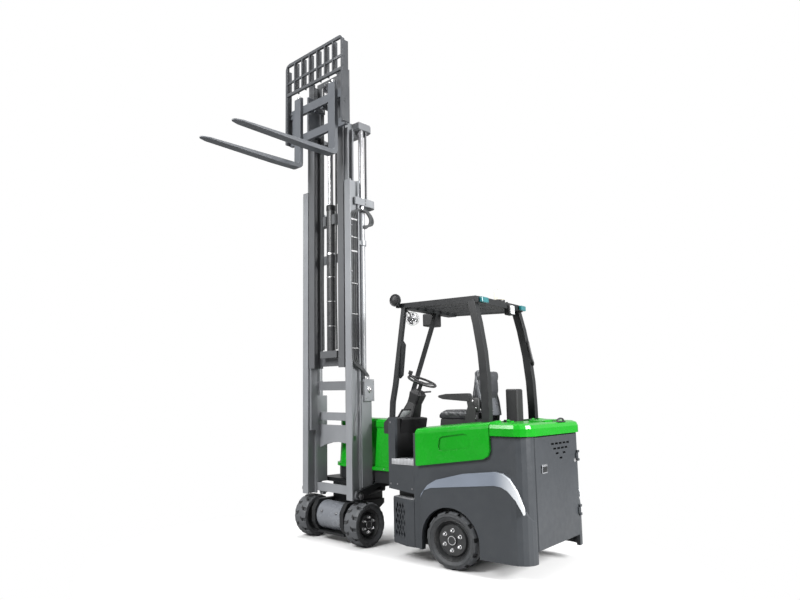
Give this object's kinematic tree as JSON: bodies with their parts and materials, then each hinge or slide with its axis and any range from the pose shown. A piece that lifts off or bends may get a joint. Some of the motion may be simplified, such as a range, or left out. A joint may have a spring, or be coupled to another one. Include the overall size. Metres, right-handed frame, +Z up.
{
  "type": "articulated forklift",
  "caption": "Electric narrow-aisle forklift with its front axle and mast hinged to a compact seated chassis; tilting telescopic mast, fork carriage and overhead guard.",
  "frame": {"origin": "centre of the base, on the floor under the middle of the bounding box", "axes": "+X forward along the chassis, +Y to the left of the operator, +Z up; the front unit is turned 83 degrees to the left"},
  "size_m": [2.562, 2.4444, 4.96],
  "materials": {
    "black_plastic": "fine grained",
    "body_grey": "satin paint",
    "chrome": "polished",
    "frame_dark": "satin paint",
    "green": "semi-gloss paint",
    "lens": "clear moulded lens",
    "mast_grey": "satin paint",
    "rim_black": "satin paint",
    "rubber": "solid rubber",
    "seat_vinyl": "soft vinyl",
    "steel": "oiled steel",
    "trim_blue_grey": "satin moulded trim"
  },
  "bodies": {
    "chassis": {"arch_trim_left": "trim_blue_grey", "arch_trim_right": "trim_blue_grey", "battery": "frame_dark", "beacon": "lens", "cab_floor": "body_grey", "chassis_frame": "frame_dark", "counterweight": "frame_dark", "dash": "black_plastic", "nose_cover": "green", "overhead_guard": "frame_dark", "rear_axle": "frame_dark", "roof_console": "black_plastic", "seat_backrest": "seat_vinyl", "seat_base": "black_plastic", "seat_cushion": "seat_vinyl", "seat_deck": "black_plastic", "side_body_left": "body_grey", "side_body_right": "body_grey", "side_cover_left": "green", "side_cover_right": "green", "step_left": "body_grey", "step_right": "body_grey", "tail_lamp_left": "lens", "tail_lamp_right": "lens"},
    "free_lift_rod": {"carriage_chain_left": "steel", "carriage_chain_right": "steel", "free_lift_rod": "chrome"},
    "carriage": {"fork_carriage": "frame_dark", "load_backrest": "frame_dark"},
    "fork_left": {"fork_left": "frame_dark"},
    "fork_right": {"fork_right": "frame_dark"},
    "inner_stage": {"free_lift_barrel": "frame_dark", "inner_mast": "mast_grey"},
    "front_unit": {"front_frame": "frame_dark"},
    "outer_mast": {"lift_barrel_left": "mast_grey", "lift_barrel_right": "mast_grey", "mast_hose": "rubber", "mast_pipe": "steel", "outer_mast": "mast_grey"},
    "middle_stage": {"lift_chain_left": "steel", "lift_chain_right": "steel", "lift_rod_left": "chrome", "lift_rod_right": "chrome", "middle_mast": "mast_grey"},
    "rear_door": {"rear_door": "body_grey"},
    "rear_hood": {"rear_hood": "green"},
    "steering_wheel": {"steering_wheel": "black_plastic"},
    "tilt_barrel_left": {"tilt_barrel_left": "frame_dark"},
    "tilt_barrel_right": {"tilt_barrel_right": "frame_dark"},
    "tilt_rod_left": {"tilt_rod_left": "chrome"},
    "tilt_rod_right": {"tilt_rod_right": "chrome"},
    "wheel_front_left": {"wheel_front_left_rim": "rim_black", "wheel_front_left_tyre": "rubber"},
    "wheel_front_right": {"wheel_front_right_rim": "rim_black", "wheel_front_right_tyre": "rubber"},
    "wheel_rear_left": {"wheel_rear_left_rim": "rim_black", "wheel_rear_left_tyre": "rubber"},
    "wheel_rear_right": {"wheel_rear_right_rim": "rim_black", "wheel_rear_right_tyre": "rubber"}
  },
  "joints": [
    {"name": "articulation", "type": "hinge", "parent": "chassis", "child": "front_unit", "pos_m": [0.76299, -0.61618, 0.62], "axis": [0, 0, 1], "range_deg": [-173, 7]},
    {"name": "wheel_rear_left_spin", "type": "hinge", "parent": "chassis", "child": "wheel_rear_left", "pos_m": [-0.59601, -0.09868, 0.2285], "axis": [0, 1, 0], "continuous": true},
    {"name": "wheel_rear_right_spin", "type": "hinge", "parent": "chassis", "child": "wheel_rear_right", "pos_m": [-0.59601, -1.13368, 0.2285], "axis": [0, 1, 0], "continuous": true},
    {"name": "wheel_front_left_spin", "type": "hinge", "parent": "front_unit", "child": "wheel_front_left", "pos_m": [0.45188, -0.26162, 0.203], "axis": [-0.9925, 0.1219, 0], "continuous": true},
    {"name": "wheel_front_right_spin", "type": "hinge", "parent": "front_unit", "child": "wheel_front_right", "pos_m": [1.15063, -0.34742, 0.203], "axis": [-0.9925, 0.1219, 0], "continuous": true},
    {"name": "mast_tilt", "type": "hinge", "parent": "front_unit", "child": "outer_mast", "pos_m": [0.81186, -0.21817, 0.47], "axis": [-0.9925, 0.1219, 0], "range_deg": [-2, 3]},
    {"name": "middle_stage_lift", "type": "slide", "parent": "outer_mast", "child": "middle_stage", "axis": [0, 0, 1], "range_m": [-0.62, 1.77]},
    {"name": "inner_stage_lift", "type": "slide", "parent": "middle_stage", "child": "inner_stage", "axis": [0, 0, 1], "range_m": [-0.62, 1.77]},
    {"name": "carriage_lift", "type": "slide", "parent": "inner_stage", "child": "carriage", "axis": [0, 0, 1], "range_m": [-2.475, 0]},
    {"name": "free_lift_rod_slide", "type": "slide", "parent": "inner_stage", "child": "free_lift_rod", "axis": [0, 0, 1], "range_m": [-1.2375, 0]},
    {"name": "fork_left_shift", "type": "slide", "parent": "carriage", "child": "fork_left", "axis": [-0.9925, 0.1219, 0], "range_m": [-0.12, 0.03]},
    {"name": "fork_right_shift", "type": "slide", "parent": "carriage", "child": "fork_right", "axis": [-0.9925, 0.1219, 0], "range_m": [-0.03, 0.12]},
    {"name": "tilt_barrel_left_swing", "type": "hinge", "parent": "front_unit", "child": "tilt_barrel_left", "pos_m": [0.52425, -0.63221, 0.487], "axis": [-0.9925, 0.1219, 0], "range_deg": [-1, 1]},
    {"name": "tilt_rod_left_slide", "type": "slide", "parent": "tilt_barrel_left", "child": "tilt_rod_left", "axis": [0.1202, 0.9793, -0.1625], "range_m": [-0.0035, 0.0023]},
    {"name": "tilt_barrel_right_swing", "type": "hinge", "parent": "front_unit", "child": "tilt_barrel_right", "pos_m": [0.99075, -0.68949, 0.487], "axis": [-0.9925, 0.1219, 0], "range_deg": [-1, 1]},
    {"name": "tilt_rod_right_slide", "type": "slide", "parent": "tilt_barrel_right", "child": "tilt_rod_right", "axis": [0.1202, 0.9793, -0.1625], "range_m": [-0.0035, 0.0023]},
    {"name": "rear_hood_hinge", "type": "hinge", "parent": "chassis", "child": "rear_hood", "pos_m": [-0.96401, -0.61618, 1.1895], "axis": [0, 1, 0], "range_deg": [0, 70]},
    {"name": "rear_door_hinge", "type": "hinge", "parent": "chassis", "child": "rear_door", "pos_m": [-1.27201, -1.05618, 0.65], "axis": [0, 0, 1], "range_deg": [0, 110]},
    {"name": "steering_wheel_turn", "type": "hinge", "parent": "chassis", "child": "steering_wheel", "pos_m": [-0.04401, -0.53118, 1.53], "axis": [-0.3829, 0, 0.9238], "continuous": true}
  ],
  "couplings": [
    {"joint": "inner_stage_lift", "follows": "middle_stage_lift", "ratio": 1},
    {"joint": "free_lift_rod_slide", "follows": "carriage_lift", "ratio": 0.5},
    {"joint": "tilt_barrel_left_swing", "follows": "mast_tilt", "ratio": -0.2628},
    {"joint": "tilt_rod_left_slide", "follows": "mast_tilt", "m_per_rad": -0.05572},
    {"joint": "tilt_barrel_right_swing", "follows": "mast_tilt", "ratio": -0.2628},
    {"joint": "tilt_rod_right_slide", "follows": "mast_tilt", "m_per_rad": -0.05572}
  ]
}
